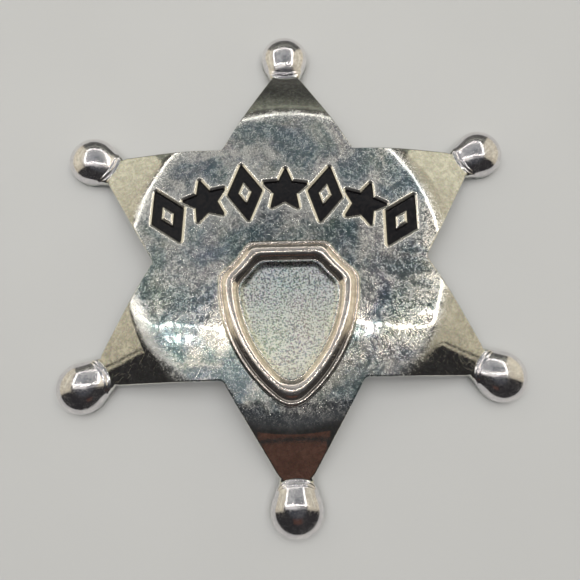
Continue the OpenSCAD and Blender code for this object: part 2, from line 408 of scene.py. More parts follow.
def from_motif(i, x, y):
    c, s = math.cos(motif_turn(i)), math.sin(motif_turn(i))
    return BAND_X + x * c - (y + BAND_R) * s, BAND_Y + x * s + (y + BAND_R) * c


def pocket_drop(distance):
    """How far a pocket's rounded lip and wall lie below the face."""
    rise = np.clip(LIP_R - distance, 0, LIP_R)
    curved = np.minimum(rise, LIP_CURVE * LIP_SLOPE)
    lip = curved * curved / (2 * LIP_CURVE) + (rise - curved) * LIP_SLOPE
    wall = np.minimum(LIP_DROP - POCKET_SLOPE * distance, POCKET_DEPTH)
    return np.where(distance >= 0, lip, wall)


def nearest_motif(x, y):
    """Distance outside the nearest enamelled area."""
    nearest = np.full(x.shape, np.inf)
    for i in range(MOTIFS):
        mx, my = to_motif(i, x, y)
        close = np.hypot(mx, my) < LOZENGE_LEN + 1
        nearest[close] = np.minimum(nearest[close], motif_distance(i, mx[close], my[close]))
    return nearest


def waves(x, y):
    """Height that the slow waves add to the face."""
    total = np.zeros_like(x)
    for height, length, degrees in WAVES:
        turn = math.radians(degrees)
        across = x * math.cos(turn) + y * math.sin(turn)
        along = y * math.cos(turn) - x * math.sin(turn)
        bent = across + WAVE_SWING * np.sin(along * 2 * math.pi / (WAVE_SWING_LENGTH * length))
        total += height * np.sin(bent * 2 * math.pi / length)
    return total


def outside_shield(x, y):
    """1 away from the shield, falling to 0 at its frame."""
    return smooth_step(-shield_inset(x, y), -0.3, 1.2)


def tip_centres():
    for k in range(ARMS):
        turn = math.pi / 2 + k * ARM_TURN
        yield TIP_R * math.cos(turn), TIP_R * math.sin(turn)


def top_height(x, y):
    """Height of the badge's front at x, y."""
    r = np.hypot(x, y)
    u, v = arm_axes(x, y)
    edge_r = EDGE_ROUND + (NECK_ROUND - EDGE_ROUND) * smooth_step(u, NECK_R - 0.7, NECK_R + 0.2)
    sheet = round_face(r) - edge_drop(sheet_inset(u, v), edge_r)
    sheet += waves(x, y) * (1 - smooth_step(r, FOLD_R, BEND_END_R)) * outside_shield(x, y)
    sheet += shield_relief(x, y) * (r < FOLD_R)
    sheet -= pocket_drop(nearest_motif(x, y))
    near_tip = u > NECK_R - NECK_W / 2
    joined = smooth_max(sheet, dome_height(u, v), NECK_FILLET)
    off = np.abs(u - v * v / COLLAR_ROUND - COLLAR_AT) / COLLAR_HALF_W
    joined += COLLAR_H * (1 - smooth_step(off, 0.35, 1.0))
    return np.where(near_tip, joined, sheet)


HOLLOW_R = BALL_R - SHEET_T
HOLLOW_RISE = BALL_RISE - SHEET_T
RING_SLANT = 0.05


def back_height(x, y):
    """Height of the badge's hollow back at x, y."""
    r = np.hypot(x, y)
    u, v = arm_axes(x, y)
    inset = np.where(u > NECK_R, (1 - tip_share(u, v)) * BALL_R, sheet_inset(u, v))
    back = round_face(r) - SHEET_T * np.sqrt(1 + face_slope(r) ** 2)
    back += edge_drop(np.maximum(inset, 0), BACK_ROUND)
    off = from_tip(u, v)
    hollow = BALL_SKIRT + HOLLOW_RISE * np.sqrt(np.maximum(1 - (off / HOLLOW_R) ** 2, 0))
    wall = BALL_SKIRT * np.clip((HOLLOW_R + RING_SLANT - off) / RING_SLANT, 0, 1)
    rim = edge_drop(np.maximum(BALL_R - off, 0), BACK_ROUND / 2)
    tip = np.where(off < HOLLOW_R, hollow, np.maximum(wall, rim))
    return np.where(off <= BALL_R + 1e-4, tip, back)


# Points of the meshes, seen from above
class PointSet:
    """Points in the plane, with lines that the triangles keep to."""

    def __init__(self):
        self.points = []
        self.lines = []

    def add_line(self, points, closed=False, keep=None):
        """Adds a chain of points. Points that keep refuses break the chain."""
        first = len(self.points)
        last = None
        for j, point in enumerate(points):
            if keep is not None and not keep[j]:
                last = None
                continue
            self.points.append(point)
            here = len(self.points) - 1
            if last is not None:
                self.lines.append((last, here))
            last = here
        if closed and last is not None and (keep is None or keep[0]):
            self.lines.append((last, first))

    def add_fill(self, spacing, inside, clear):
        """Fills what is still empty with a triangular grid."""
        cell = clear / 1.5
        taken = set()
        for px, py in self.points:
            cx, cy = math.floor(px / cell), math.floor(py / cell)
            taken.update((cx + i, cy + j) for i in (-1, 0, 1) for j in (-1, 0, 1))
        across = np.arange(-PLATE_HIGH.y, PLATE_HIGH.y, spacing)
        rows = np.arange(-PLATE_HIGH.y, PLATE_HIGH.y, spacing * math.sqrt(3) / 2)
        grid_x, grid_y = np.meshgrid(across, rows)
        grid_x = grid_x + (np.arange(len(rows)) % 2)[:, None] * spacing / 2
        chosen = inside(grid_x, grid_y)
        for px, py in zip(grid_x[chosen], grid_y[chosen]):
            if (math.floor(px / cell), math.floor(py / cell)) not in taken:
                self.points.append((px, py))


def spaced(start, end, spacing):
    """Points from start up to, but without, end."""
    steps = max(1, round(math.dist(start, end) / spacing))
    return [
        (start[0] + (end[0] - start[0]) * j / steps, start[1] + (end[1] - start[1]) * j / steps)
        for j in range(steps)
    ]


def arc(centre, radius, start, end, spacing):
    """Points along an arc from start up to, but without, end."""
    steps = max(2, round(abs(end - start) * radius / spacing))
    turns = [start + (end - start) * j / steps for j in range(steps)]
    return [(centre[0] + radius * math.cos(t), centre[1] + radius * math.sin(t)) for t in turns]


def notch_arc(radius, spacing):
    """Points round the inner corner that lies on the X axis."""
    return arc((NOTCH_CENTRE_R, 0), radius, math.pi + NOTCH_SWEEP, math.pi - NOTCH_SWEEP, spacing)


def turned(points, turn):
    c, s = math.cos(turn), math.sin(turn)
    return [(x * c - y * s, x * s + y * c) for x, y in points]


def mirrored(point):
    return (point[0], -point[1])


# Distances between the points of the outline: along the arms' sides, necks, notches and tips
OUTLINE_STEP = 0.3
NECK_STEP = 0.12
NOTCH_STEP = 0.1
TIP_STEP = 0.2


def outline():
    """The edge of the whole badge, as one closed chain."""
    tip_end = math.pi / 2 + FLANK_TURN
    notch = notch_arc(NOTCH_FILLET, NOTCH_STEP)
    arm = spaced(SIDE_START, SIDE_END, OUTLINE_STEP)
    arm += spaced(SIDE_END, mirrored(FLANK_END), NECK_STEP)
    arm += arc((TIP_R, 0), BALL_R, -tip_end, tip_end, TIP_STEP)
    arm += spaced(FLANK_END, mirrored(SIDE_END), NECK_STEP)
    arm += spaced(mirrored(SIDE_END), mirrored(SIDE_START), OUTLINE_STEP)
    loop = []
    for k in range(ARMS):
        loop += turned(notch, k * ARM_TURN)
        loop += turned(arm, k * ARM_TURN + ARM_TURN / 2)
    return loop


CONTOUR_HALVINGS = 34


def contour(field, level, centre, count, reach):
    """Points round a centre at which field, which falls outwards, has the given level."""
    turns = np.linspace(0, 2 * math.pi, count, endpoint=False)
    dx, dy = np.cos(turns), np.sin(turns)
    near = np.zeros(count)
    far = np.full(count, float(reach))
    for _ in range(CONTOUR_HALVINGS):
        middle = (near + far) / 2
        above = field(centre[0] + dx * middle, centre[1] + dy * middle) > level
        near = np.where(above, middle, near)
        far = np.where(above, far, middle)
    return centre[0] + dx * near, centre[1] + dy * near


EDGE_RINGS = (0.02, 0.06, 0.12, 0.19, 0.26, 0.4, 0.6)
RING_NOTCH_STEP = 0.12


def edge_chain(k, inset):
    """A line a little inside the sheet's edge, along both sides of notch k."""
    notch = notch_arc(NOTCH_FILLET + inset, RING_NOTCH_STEP)
    shift = (SIDE_IN[0] * inset, -SIDE_IN[1] * inset)
    start, end = ((u + shift[0], v + shift[1]) for u, v in (SIDE_START, SIDE_END))
    side = spaced(start, end, OUTLINE_STEP)
    chain = turned([mirrored(point) for point in reversed(side)], k * ARM_TURN - ARM_TURN / 2)
    return chain + turned(notch, k * ARM_TURN) + turned(side, k * ARM_TURN + ARM_TURN / 2)


def add_edge_rings(points, insets):
    """Lines that run along the sheet's edge, a little inside it."""
    for inset in insets:
        for k in range(ARMS):
            chain = edge_chain(k, inset)
            u, v = arm_axes(*np.array(chain).T)
            on_ring = np.abs(sheet_inset(u, v) - inset) < 0.01
            points.add_line(chain, keep=on_ring & (u < NECK_R - 0.1))


def add_neck_patch(points, half_v, spacing):
    """A fine grid over each arm's neck."""
    us = np.arange(NECK_START, NECK_END, spacing)
    vs = np.arange(-half_v, half_v + spacing / 2, spacing)
    grid_u, grid_v = np.meshgrid(us, vs)
    chosen = inside_arm(grid_u, np.abs(grid_v), spacing / 2)
    cells = list(zip(grid_u[chosen], grid_v[chosen]))
    for k in range(ARMS):
        points.points += turned(cells, math.pi / 2 + k * ARM_TURN)


def add_circles(points, centre, radii, spacing, keep=None):
    """Circles round a centre, broken where keep refuses the point at x, y."""
    for radius in radii:
        chain = arc(centre, radius, 0, 2 * math.pi, spacing)
        kept = None if keep is None else keep(*np.array(chain).T)
        points.add_line(chain, closed=keep is None, keep=kept)


# Lines round the shield, as distances inside its edge, closest together at the frame's feet
FRAME_FOOT = 0.42
SHIELD_LEVELS = [
    *np.arange(-0.35, 0.6, 0.05),
    *np.arange(0.6, RIM_W - FRAME_FOOT, 0.1),
    *np.arange(RIM_W - FRAME_FOOT, RIM_W + FRAME_FOOT, 0.05),
]
SHIELD_COUNT = 300
SHIELD_REACH = 16
SHIELD_MIDDLE = (SHIELD_X, SHIELD_Y - 1.5)
LIP_LEVELS = (0.6, 0.5, 0.4, 0.3, 0.22, 0.14, 0.08, 0.04, 0.015, -0.03, -0.1)
NECK_START = NECK_R - 0.7
NECK_END = NECK_R + 2.0
BALL_RING_TURN = math.radians(4.5)
# How far the closely set circles reach beyond both ends of the bend
BEND_MARGIN = 0.6
# How many points the loops round a motif and round its bare centre have
OUTER_COUNT = 180
LIP_CENTRE_COUNT = 80
ENAMEL_CENTRE_COUNT = 90


def outer_loop(i, level):
    """A loop round motif i at a distance outside its enamelled area, in its own axes."""
    reach = LOZENGE_LEN + 2
    return contour(lambda x, y: -outer_distance(i, x, y), -level, (0.0, 0.0), OUTER_COUNT, reach)


def centre_loop(level, count):
    """A loop in a lozenge's bare centre at a distance from the enamel round it."""
    return contour(lambda x, y: -centre_distance(x, y), level, (0.0, 0.0), count, LOZENGE_LEN)


def add_motif_lines(points, i, levels):
    """Lines along the lip of motif i, at the given distances outside its enamelled area."""
    for level in levels:
        loops = [outer_loop(i, level)]
        if not is_star(i):
            loops.append(centre_loop(level, LIP_CENTRE_COUNT))
        for x, y in loops:
            points.add_line(list(zip(*from_motif(i, x, y))), closed=True)


def tip_rings():
    """Shares of the way to a tip's outline, closer together where the dome is steep."""
    count = round(math.pi / 2 / BALL_RING_TURN)
    return [math.sin(j * math.pi / 2 / count) for j in range(1, count)] + [0.9995]


def pear_ring(share):
    """A ring round a tip's centre, of the shape of the tip's outline."""
    ring = np.array(arc((TIP_R, 0), share * BALL_R, 0, 2 * math.pi, 0.28))
    scale = tip_reach(ring[:, 0], np.abs(ring[:, 1])) / BALL_R
    return list(zip(TIP_R + (ring[:, 0] - TIP_R) * scale, ring[:, 1] * scale))


def inside_arm(u, v, clear):
    """Whether a point of an arm lies inside the outline by more than clear."""
    on_sheet = (sheet_inset(u, v) > clear) & (u < NECK_R)
    return on_sheet | ((1 - tip_share(u, v)) * BALL_R > clear)


def in_outline(x, y, clear=0.15):
    u, v = arm_axes(x, y)
    return inside_arm(u, v, clear)


def clear_of_lips(x, y):
    """Whether a point is clear of the sheet's edge and of the pockets' lips."""
    return (sheet_inset(*arm_axes(x, y)) > 0.7) & (nearest_motif(x, y) > 0.5)


def top_points(loop):
    """Points of the front, closest together where it bends most."""
    points = PointSet()
    points.add_line(loop, closed=True)
    add_edge_rings(points, EDGE_RINGS)
    for level in SHIELD_LEVELS:
        x, y = contour(shield_inset, level, SHIELD_MIDDLE, SHIELD_COUNT, SHIELD_REACH)
        points.add_line(list(zip(x, y)), closed=True)
    for i in range(MOTIFS):
        add_motif_lines(points, i, LIP_LEVELS)
    radii = np.arange(FOLD_R - BEND_MARGIN, BEND_END_R + BEND_MARGIN, 0.25)
    add_circles(points, (0, 0), radii, 0.35, keep=clear_of_lips)
    for k in range(ARMS):
        turn = math.pi / 2 + k * ARM_TURN
        points.points += turned([(TIP_R, 0)], turn)
        for share in tip_rings():
            ring = pear_ring(share)
            points.add_line(turned(ring, turn), keep=[u > NECK_END for u, v in ring], closed=True)
    add_neck_patch(points, half_v=FLANK_END[1], spacing=0.1)
    points.add_fill(spacing=0.7, inside=in_outline, clear=0.32)
    return points


def back_points(loop):
    """Points of the hollow back."""
    points = PointSet()
    points.add_line(loop, closed=True)
    add_edge_rings(points, (0.06, 0.16, 0.5))
    radii = np.arange(FOLD_R - BEND_MARGIN, BEND_END_R + BEND_MARGIN, 0.4)
    add_circles(points, (0, 0), radii, 0.6, keep=lambda x, y: sheet_inset(*arm_axes(x, y)) > 0.6)
    radii = [HOLLOW_R * math.sin(j * math.pi / 24) for j in range(1, 12)]
    radii += [HOLLOW_R, HOLLOW_R + RING_SLANT, BALL_R - BACK_ROUND / 2, BALL_R - 0.02]
    for centre in tip_centres():
        points.points.append(centre)
        add_circles(points, centre, radii, 0.3)
        rim = (BALL_R, BALL_R + RING_SLANT)
        add_circles(points, centre, rim, 0.15, keep=lambda x, y: in_outline(x, y, 0.06))
    points.add_fill(spacing=1.2, inside=in_outline, clear=0.4)
    return points


def triangulate(points, loop_size):
    """Triangles over the area inside the first loop of points."""
    coords = [Vector(p) for p in points.points]
    made = delaunay_2d_cdt(coords, points.lines, [list(range(loop_size))], 1, 1e-6)
    flat = np.array([tuple(v) for v in made[0]])
    faces = []
    for face in made[2]:
        a, b, c = (flat[i] for i in face[:3])
        area = (b[0] - a[0]) * (c[1] - a[1]) - (b[1] - a[1]) * (c[0] - a[0])
        faces.append(tuple(face) if area > 0 else tuple(reversed(face)))
    return flat, faces


def open_edges(faces):
    """Directed edges that only one face has."""
    edges = dict.fromkeys(edge for face in faces for edge in zip(face, face[1:] + face[:1]))
    return [e for e in edges if (e[1], e[0]) not in edges]


def place_key(point):
    return (round(point[0], 4), round(point[1], 4))


def closed_shell(top_flat, top_faces, top_z, back_flat, back_faces, back_z):
    """One closed skin out of a front and a back that have the same outline."""
    verts = [(p[0], p[1], z) for p, z in zip(top_flat, top_z)]
    shift = len(verts)
    verts += [(p[0], p[1], z) for p, z in zip(back_flat, back_z)]
    faces = list(top_faces)
    faces += [tuple(i + shift for i in reversed(face)) for face in back_faces]
    below = {place_key(p): i + shift for i, p in enumerate(back_flat)}
    for a, b in open_edges(top_faces):
        faces.append((b, a, below[place_key(top_flat[a])], below[place_key(top_flat[b])]))
    return verts, faces


def surface_normals(height, flat, steepest=6.0):
    """Upward normals of a height function, and zero where it is too steep to tell."""
    step = 0.004
    x, y = flat[:, 0], flat[:, 1]
    slope_x = (height(x + step, y) - height(x - step, y)) / (2 * step)
    slope_y = (height(x, y + step) - height(x, y - step)) / (2 * step)
    normals = np.stack((-slope_x, -slope_y, np.ones_like(x)), axis=1)
    normals /= np.linalg.norm(normals, axis=1)[:, None]
    normals[np.hypot(slope_x, slope_y) > steepest] = 0
    return normals


def mesh_object(name, verts, faces, normals=None):
    """A piece of the badge from points in millimetres."""
    mesh = bpy.data.meshes.new(name)
    mesh.from_pydata([tuple(c * MM for c in v) for v in verts], [], faces)
    mesh.validate()
    mesh.shade_smooth()
    if normals is not None:
        every = np.zeros((len(mesh.vertices), 3))
        every[: len(normals)] = normals
        mesh.normals_split_custom_set_from_vertices([tuple(n) for n in every])
    piece = bpy.data.objects.new(name, mesh)
    bpy.context.scene.collection.objects.link(piece)
    return piece


def add_zones(piece, name, zones):
    """Stores up to three shares for each point of the front, for the material."""
    colors = np.zeros((len(piece.data.vertices), 4))
    for channel, zone in enumerate(zones):
        colors[: len(zone), channel] = zone
    colors[:, 3] = 1
    layer = piece.data.attributes.new(name, "FLOAT_COLOR", "POINT")
    layer.data.foreach_set("color", colors.ravel())


def mark_zones(piece, flat):
    """Marks the field, balls, arms, frame and lips of the plate for its material."""
    x, y = flat[:, 0], flat[:, 1]
    u, v = arm_axes(x, y)
    inset = shield_inset(x, y)
    field = smooth_step(inset, RIM_W - 0.1, RIM_W + 0.15)
    balls = 1 - smooth_step(from_tip(u, v), TIP_R - NECK_R - 0.2, TIP_R - NECK_R + 0.2)
    arms = smooth_step(np.hypot(x, y), FOLD_R, BEND_END_R)
    rim = smooth_step(inset, -0.2, 0.1) * (1 - field)
    lip = 1 - smooth_step(nearest_motif(x, y), LIP_R - 0.15, LIP_R + 0.1)
    add_zones(piece, "zone", (field, balls, arms))
    add_zones(piece, "relief", (rim, lip))


def star_plate_piece():
    loop = outline()
    top_flat, top_faces = triangulate(top_points(loop), len(loop))
    back_flat, back_faces = triangulate(back_points(loop), len(loop))
    top_z = top_height(top_flat[:, 0], top_flat[:, 1])
    back_z = back_height(back_flat[:, 0], back_flat[:, 1])
    verts, faces = closed_shell(top_flat, top_faces, top_z, back_flat, back_faces, back_z)
    normals = surface_normals(top_height, top_flat)
    edge = sorted({i for pair in open_edges(top_faces) for i in pair})
    normals[edge] = 0
    piece = mesh_object("struck_plate", verts, faces, normals)
    mark_zones(piece, top_flat)
    return piece


# Enamel
def enamel_drop(distance):
    """How far the enamel's surface lies below the face: down the lip, then level."""
    down_wall = -(pocket_drop(distance) - ENAMEL_PROUD)
    return -smooth_max(down_wall, np.full_like(distance, -ENAMEL_DEPTH), ENAMEL_FILLET)


ENAMEL_STEP = 0.22
ENAMEL_LEAST = 0.004
ENAMEL_LEVELS = (
    ENAMEL_LAP, 0.075, 0.05, 0.03, 0.015, 0.0, -0.02, -0.045, -0.08, -0.13, -0.2, -0.3, -0.42,
)


def enamel_mesh(i):
    """Triangles over the enamel of motif i, seen from above, in the motif's own axes."""
    points = PointSet()
    for level in ENAMEL_LEVELS:
        points.add_line(list(zip(*outer_loop(i, level))), closed=True)
    if not is_star(i):
        for level in ENAMEL_LEVELS:
            points.add_line(list(zip(*centre_loop(level, ENAMEL_CENTRE_COUNT))), closed=True)
    points.add_fill(ENAMEL_STEP, lambda x, y: motif_distance(i, x, y) < -0.15, ENAMEL_STEP)
    flat, faces = triangulate(points, OUTER_COUNT)
    middles = np.array([(flat[a] + flat[b] + flat[c]) / 3 for a, b, c in faces])
    enamelled = motif_distance(i, middles[:, 0], middles[:, 1]) < ENAMEL_LAP
    faces = [face for face, keep in zip(faces, enamelled) if keep]
    used = sorted({j for face in faces for j in face})
    new_place = {j: n for n, j in enumerate(used)}
    return flat[used], [tuple(new_place[j] for j in face) for face in faces]


def face_at_motif(i, x, y):
    """Height of the struck face at a point in the axes of motif i."""
    face_x, face_y = from_motif(i, x, y)
    return round_face(np.hypot(face_x, face_y)) + waves(face_x, face_y)


def enamel_piece(i):
    """The enamel in pocket i, as a closed skin."""
    flat, faces = enamel_mesh(i)

    def surface(x, y):
        return face_at_motif(i, x, y) - enamel_drop(motif_distance(i, x, y))

    x, y = flat[:, 0], flat[:, 1]
    top_z = surface(x, y)
    pocket_z = face_at_motif(i, x, y) - pocket_drop(motif_distance(i, x, y)) + ENAMEL_PROUD / 2
    back_z = np.minimum(pocket_z, top_z - ENAMEL_LEAST)
    verts, shell = closed_shell(flat, faces, top_z, flat, faces, back_z)
    verts = [(*from_motif(i, vert_x, vert_y), z) for vert_x, vert_y, z in verts]
    c, s = math.cos(motif_turn(i)), math.sin(motif_turn(i))
    turn = np.array(((c, s, 0), (-s, c, 0), (0, 0, 1)))
    normals = surface_normals(surface, flat, steepest=9.0) @ turn
    return mesh_object(f"enamel_fill_{i + 1}", verts, shell, normals)


# Materials
class Nodes:
    """Short calls that add and join a material's nodes."""

    def __init__(self, tree):
        self.tree = tree
        tree.nodes.clear()

    def add(self, kind, *inputs, out=0, **values):
        node = self.tree.nodes.new(kind)
        for key, value in values.items():
            setattr(node, key, value)
        for slot, value in enumerate(inputs):
            self.put(node, slot, value)
        return node.outputs[out] if node.outputs else None

    def put(self, node, slot, value):
        if value is None:
            return
        if isinstance(value, bpy.types.NodeSocket):
            self.tree.links.new(value, node.inputs[slot])
        else:
            node.inputs[slot].default_value = value

    def put_all(self, node, values):
        for slot, value in values.items():
            self.put(node, slot, value)

    def math(self, operation, *inputs):
        return self.add("ShaderNodeMath", *inputs, operation=operation)

    def vector(self, operation, *inputs):
        return self.add("ShaderNodeVectorMath", *inputs, operation=operation)

    def times(self, a, b):
        return self.math("MULTIPLY", a, b)

    def plus(self, a, b):
        return self.math("ADD", a, b)

    def weighted(self, *parts):
        """Sum of values, each taken by its own weight."""
        total = 0.0
        for value, weight in parts:
            total = self.plus(total, self.times(value, weight))
        return total

    def step(self, value, low, high, to_low=0.0, to_high=1.0):
        """A smooth change from to_low to to_high while value goes from low to high."""
        return self.add(
            "ShaderNodeMapRange", value, low, high, to_low, to_high, interpolation_type="SMOOTHSTEP"
        )

    def mix(self, share, a, b, blend="MIX"):
        node = self.add("ShaderNodeMix", share, data_type="RGBA", blend_type=blend).node
        self.put_all(node, {6: a, 7: b})
        return node.outputs[2]

    def mix_values(self, share, a, b):
        return self.add("ShaderNodeMix", share, None, a, b)

    def noise(self, where, scale, detail=3.0, rough=0.5, distort=0.0):
        """A noise of scale spots in a millimetre, as a value and as a colour."""
        node = self.add("ShaderNodeTexNoise").node
        self.put_all(node, {"Vector": where, "Scale": scale, "Detail": detail})
        self.put_all(node, {"Roughness": rough, "Distortion": distort})
        return node.outputs["Fac"], node.outputs["Color"]

    def stretched(self, where, turn, along, across):
        """Coordinates turned about Z and scaled, for marks that run one way."""
        node = self.add("ShaderNodeMapping", where, vector_type="TEXTURE").node
        turns = (0.0, 0.0, math.radians(turn))
        self.put_all(node, {"Rotation": turns, "Scale": (1 / along, 1 / across, 1.0)})
        return node.outputs[0]


def material(name):
    """A new material with its nodes, its shader and the place on the piece in millimetres."""
    made = bpy.data.materials.new(name)
    made.use_nodes = True
    nodes = Nodes(made.node_tree)
    shader = nodes.add("ShaderNodeBsdfPrincipled").node
    nodes.add("ShaderNodeOutputMaterial", shader.outputs[0])
    position = nodes.add("ShaderNodeTexCoord", out=3)
    return made, nodes, shader, nodes.vector("MULTIPLY", position, (1 / MM,) * 3)


def strokes(nodes, where, turn, seed, along, across, sparse):
    """Thin straight marks in one direction, as a mask."""
    lines = nodes.stretched(where, turn, along, across)
    offset = (seed * 7.3, seed * 3.1, seed * 1.7)
    value, _ = nodes.noise(nodes.vector("ADD", lines, offset), 1.0, 1.0, 0.4)
    return nodes.step(value, sparse, sparse + 0.03)


# Short and long scratches: first seed, directions in degrees, how often they change along and
# across in a millimetre, and how sparse they are
SCRATCHES = (
    (1, (8, 49, 92, 136), 0.6, 9.0, 0.72),
    (21, (35, 118, 150), 0.08, 11.0, 0.75),
)


def hairlines(nodes, where):
    """Short criss-cross scratches and a few long ones, all slightly bent."""
    _, bend_way = nodes.noise(where, 0.12, 1.0, 0.4)
    pulled = nodes.vector("SUBTRACT", bend_way, (0.5, 0.5, 0.5))
    bent = nodes.vector("ADD", where, nodes.vector("MULTIPLY", pulled, (2.6, 2.6, 0.0)))
    marks = 0.0
    for first_seed, turns, along, across, sparse in SCRATCHES:
        for seed, turn in enumerate(turns, first_seed):
            one = strokes(nodes, bent, turn, seed, along, across, sparse)
            marks = nodes.math("MAXIMUM", marks, one)
    return marks


def add_bump(nodes, shader, height, distance):
    bump = nodes.add("ShaderNodeBump").node
    nodes.put_all(bump, {"Strength": 1.0, "Distance": distance, "Height": height})
    nodes.put(shader, "Normal", bump.outputs[0])


def zone_parts(nodes, name):
    colors = nodes.add("ShaderNodeAttribute", attribute_name=name)
    return nodes.add("ShaderNodeSeparateColor", colors).node.outputs


# Colours of the plate, in pairs: cool and warm, then dull and bright
NICKEL = (0.68, 0.73, 0.72, 1.0), (0.94, 0.91, 0.83, 1.0)
TARNISH = (0.18, 0.23, 0.24, 1.0), (0.31, 0.32, 0.30, 1.0)
WORN = (0.55, 0.56, 0.54, 1.0), (0.97, 0.96, 0.92, 1.0)
PANEL = (0.66, 0.65, 0.60, 1.0), (0.84, 0.83, 0.77, 1.0)
TIP = (0.70, 0.68, 0.70, 1.0), (0.94, 0.91, 0.90, 1.0)
# The frame's tones: dull and bright metal at random, warmed throughout to paint the sheen of warm light
# reflected in its ridge
FRAME_WARM_SHEEN = (0.76, 0.68, 0.60, 1.0), (1.0, 0.92, 0.84, 1.0)
PANEL_STAIN = (0.2, 0.2, 0.18, 1.0)
# Near-white tone on the pockets' lips: a painted highlight along their rounded edges
LIP_HIGHLIGHT_TONE = (1.0, 0.97, 0.90, 1.0)
# Light and dark grains of the field, each at its top and at its point, and the heights between. Towards
# the point both turn lighter and warmer: a painted glow of reflected lamp light.
LIGHT_GRAINS_AND_GLOW = (0.72, 0.76, 0.75, 1.0), (1.0, 1.0, 0.88, 1.0)
DARK_GRAINS_AND_GLOW = (0.13, 0.16, 0.17, 1.0), (0.50, 0.50, 0.43, 1.0)
PAINTED_GLOW_Y = (-18.0, 1.0)
# Heights of the bumps in the three finishes, in metres
PLATE_BUMP = 0.000007
ENAMEL_BUMP = 0.00003
STEEL_BUMP = 0.00001


class PlateMasks:
    """Zones of the plate, and the noises and marks that its colour, roughness and bump share."""

    def __init__(self, nodes, where):
        self.where = where
        self.field, self.balls, self.arms = zone_parts(nodes, "zone")
        self.rim, self.lip, _ = zone_parts(nodes, "relief")
        self.clouds, self.tint = nodes.noise(where, 0.16, 4.0, 0.6, 0.6)
        grain, self.sparkle = nodes.noise(where, 4.6, 2.0, 0.75)
        self.patches, _ = nodes.noise(where, 1.6, 3.0, 0.65, 0.8)
        self.pores, _ = nodes.noise(where, 12.0, 1.0, 0.5)
        self.blotch, _ = nodes.noise(where, 0.45, 4.0, 0.7, 1.4)
        self.sand_grain, _ = nodes.noise(where, 4.4, 2.0, 0.7)
        marks = nodes.times(hairlines(nodes, where), nodes.mix_values(self.balls, 0.75, 0.3))
        self.marks = nodes.times(marks, nodes.mix_values(self.arms, 1.0, 0.35))
        self.worn = nodes.weighted((grain, 0.42), (self.patches, 0.28), (self.blotch, 0.30))
        clouded = nodes.plus(self.worn, nodes.step(self.clouds, 0.35, 0.65, -0.04, 0.04))
        self.bright = nodes.step(clouded, 0.41, 0.59)
        # Highest in the middle of the bend, where the share of the arms is a half
        both = nodes.times(self.arms, nodes.math("SUBTRACT", 1.0, self.arms))
        self.bend = nodes.times(both, 3.6)


def face_color(nodes, masks):
    """Nickel with clouds of tarnish, rubbed bright along the bend and in the scratches."""
    cloudy = nodes.step(masks.clouds, 0.38, 0.62)
    nickel = nodes.mix(cloudy, *NICKEL)
    tarnish = nodes.mix(cloudy, *TARNISH)
    color = nodes.mix(masks.bright, tarnish, nickel)
    color = nodes.mix(0.2, color, masks.sparkle, "OVERLAY")
    color = nodes.mix(0.2, color, masks.tint, "OVERLAY")
    color = nodes.mix(masks.bend, color, nodes.mix(masks.bright, *WORN))
    return nodes.mix(masks.marks, color, WORN[1])


def panel_color(nodes, masks):
    """The arms' smoother metal, with faint blotches and stains."""
    color = nodes.mix(nodes.step(masks.blotch, 0.35, 0.65), *PANEL)
    stained = nodes.mix(0.22, color, PANEL_STAIN)
    color = nodes.mix(nodes.step(masks.patches, 0.40, 0.60), stained, color)
    return nodes.mix(0.4, color, masks.sparkle, "OVERLAY")


def sand_color(nodes, masks):
    """The field's light and dark grains, warmer and lighter towards its point, where a painted glow
    stands in for reflected lamp light.
    """
    height = nodes.add("ShaderNodeSeparateXYZ", masks.where, out=1)
    # painted glow: the grains turn lighter and warmer towards the point in place of reflected lamp light
    low = nodes.step(height, *PAINTED_GLOW_Y, 1.0, 0.0)
    grains = nodes.weighted((masks.sand_grain, 0.65), (masks.worn, 0.35))
    dark, light = nodes.mix(low, *DARK_GRAINS_AND_GLOW), nodes.mix(low, *LIGHT_GRAINS_AND_GLOW)
    color = nodes.mix(nodes.step(grains, 0.45, 0.52), dark, light)
    color = nodes.mix(0.6, color, masks.sparkle, "OVERLAY")
    return nodes.mix(0.25, color, masks.tint, "OVERLAY")


def plate_color(nodes, masks):
    color = nodes.mix(masks.arms, face_color(nodes, masks), panel_color(nodes, masks))
    zones = (
        (masks.balls, nodes.mix(masks.bright, *TIP)),
        # painted warm sheen on the frame, over its dull and bright metal
        (masks.rim, nodes.mix(masks.bright, *FRAME_WARM_SHEEN)),
        (masks.field, sand_color(nodes, masks)),
        # painted highlight on the lips
        (masks.lip, LIP_HIGHLIGHT_TONE),
    )
    for zone, tone in zones:
        color = nodes.mix(zone, color, tone)
    return color


def plate_roughness(nodes, masks):
    """Almost a mirror on the arms and in small spots of the face, hazy on the rest."""
    haze = nodes.step(masks.patches, 0.42, 0.58, 0.10, 0.20)
    haze = nodes.plus(haze, nodes.step(masks.worn, 0.46, 0.60, 0.0, 0.16))
    face = nodes.mix_values(nodes.step(masks.pores, 0.42, 0.50), 0.02, haze)
    panel = nodes.step(masks.clouds, 0.3, 0.7, 0.01, 0.025)
    panel = nodes.plus(panel, nodes.step(masks.worn, 0.5, 0.6, 0.0, 0.03))
    rough = nodes.mix_values(masks.arms, face, panel)
    zones = (
        (masks.bend, nodes.step(masks.worn, 0.44, 0.58, 0.12, 0.32)),
        (masks.balls, nodes.step(masks.worn, 0.42, 0.58, 0.07, 0.26)),
        (masks.marks, 0.28),
        (masks.rim, 0.15),
        (masks.field, 0.30),
        (masks.lip, 0.25),
    )
    for zone, value in zones:
        rough = nodes.mix_values(zone, rough, value)
    return rough


